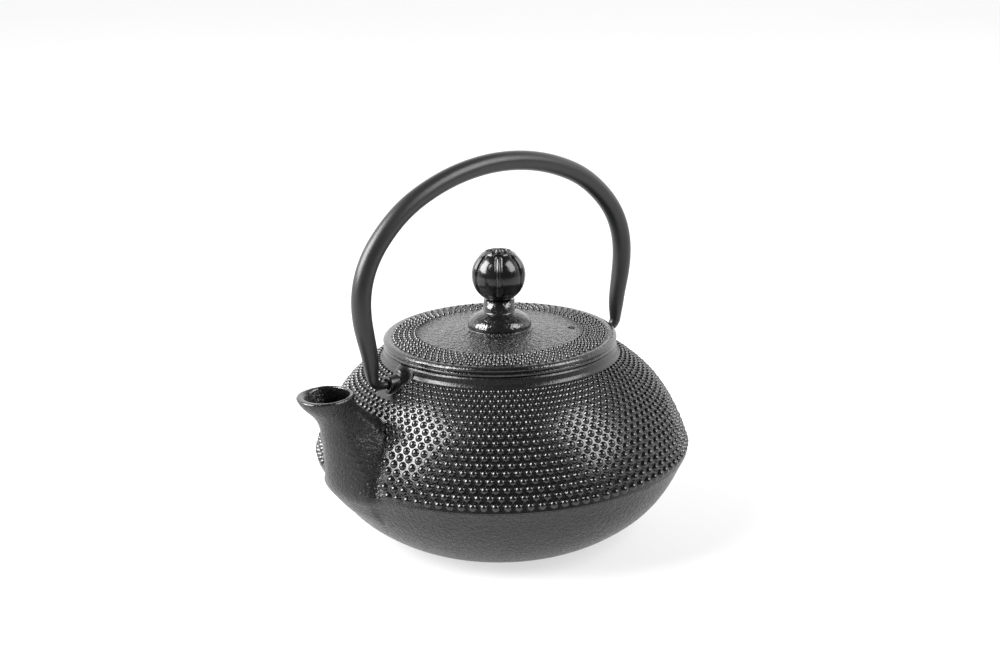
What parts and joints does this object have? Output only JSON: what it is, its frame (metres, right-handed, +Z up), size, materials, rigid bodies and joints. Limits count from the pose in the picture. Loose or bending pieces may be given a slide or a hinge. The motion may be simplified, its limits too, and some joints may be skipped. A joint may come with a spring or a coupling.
{
  "type": "teapot",
  "caption": "Squat hobnail cast-iron teapot with a swinging bail, side spout, ball-knobbed lid and a lift-out mesh infuser basket.",
  "frame": {"origin": "on the pot's axis, in the plane of its flat base", "axes": "+Z up; the spout points along -X; the bail turns about X and stands in the XZ plane at rest"},
  "size_m": [0.1457, 0.1288, 0.1311],
  "materials": {
    "enamelled_iron": "black satin enamel over cast iron",
    "knob_iron": "black gloss enamel over cast iron",
    "bail_paint": "black satin paint on a steel bar",
    "stainless_steel": "plain stainless sheet",
    "stainless_mesh": "fine woven stainless mesh"
  },
  "bodies": {
    "pot": {"pot_bowl": "enamelled_iron", "pot_shoulder": "enamelled_iron", "pot_spout": "enamelled_iron"},
    "bail": {"bail_handle": "bail_paint"},
    "infuser": {"infuser_rim": "stainless_steel", "infuser_mesh_wall": "stainless_mesh", "infuser_wall_seam": "stainless_steel", "infuser_base_ring": "stainless_steel", "infuser_mesh_floor": "stainless_mesh"},
    "lid": {"lid": "enamelled_iron", "lid_knob": "knob_iron", "knob_screw": "stainless_steel", "screw_washer": "stainless_steel"}
  },
  "joints": [
    {"name": "bail_swing", "type": "hinge", "parent": "pot", "child": "bail", "pos_m": [0, 0, 0.0602], "axis": [1, 0, 0], "range_deg": [-85, 85]},
    {"name": "infuser_lift", "type": "slide", "parent": "pot", "child": "infuser", "axis": [0, 0, 1], "range_m": [0, 0.01]},
    {"name": "lid_lift", "type": "slide", "parent": "infuser", "child": "lid", "axis": [0, 0, 1], "range_m": [0, 0.014]}
  ]
}
